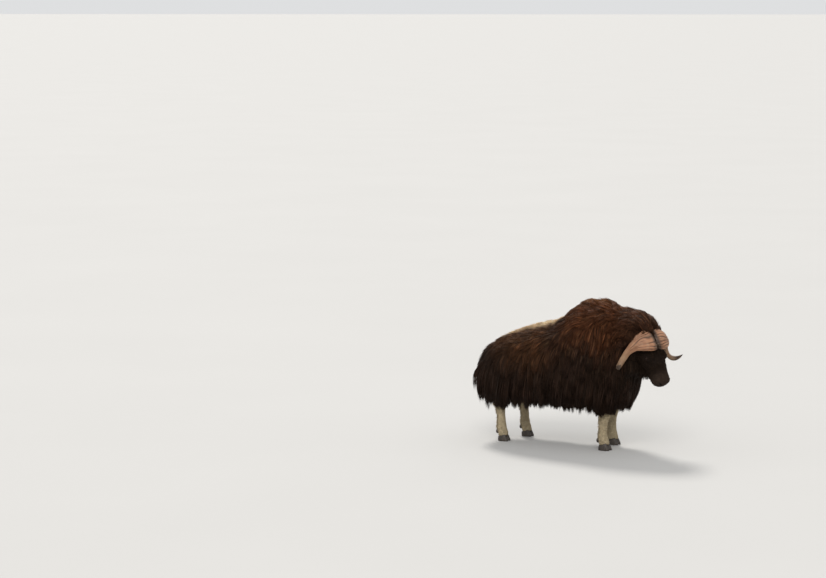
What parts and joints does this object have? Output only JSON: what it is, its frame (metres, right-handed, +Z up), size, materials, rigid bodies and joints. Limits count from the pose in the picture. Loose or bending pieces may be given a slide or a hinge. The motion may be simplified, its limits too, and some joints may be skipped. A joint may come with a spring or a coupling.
{
  "type": "muskox bull model",
  "caption": "Life-size standing muskox bull with a long skirted coat, a shoulder hump, a lowered head and hooked horns that meet in a broad boss.",
  "frame": {"origin": "on the ground, under the middle of the whole animal's box", "axes": "+X the way the body faces, +Y the animal's left, +Z up"},
  "size_m": [2.1112, 0.8324, 1.4514],
  "materials": {
    "coat": "long dark brown hair",
    "face_hair": "short blackish brown hair",
    "stocking": "short pale buff hair",
    "horn": "ridged tan horn, darker at the tip",
    "hoof": "dull dark horn",
    "eye": "wet dark brown"
  },
  "bodies": {
    "root": {"head": "face_hair", "neck": "coat", "forequarters": "coat", "barrel": "coat", "hindquarters": "coat", "tail": "coat", "horn_left": "horn", "horn_right": "horn", "ear_left": "face_hair", "ear_right": "face_hair", "eye_left": "eye", "eye_right": "eye", "leg_front_left": "stocking", "leg_front_right": "stocking", "leg_hind_left": "stocking", "leg_hind_right": "stocking", "toe_front_left_left": "hoof", "toe_front_left_right": "hoof", "toe_front_right_left": "hoof", "toe_front_right_right": "hoof", "toe_hind_left_left": "hoof", "toe_hind_left_right": "hoof", "toe_hind_right_left": "hoof", "toe_hind_right_right": "hoof"}
  },
  "joints": []
}
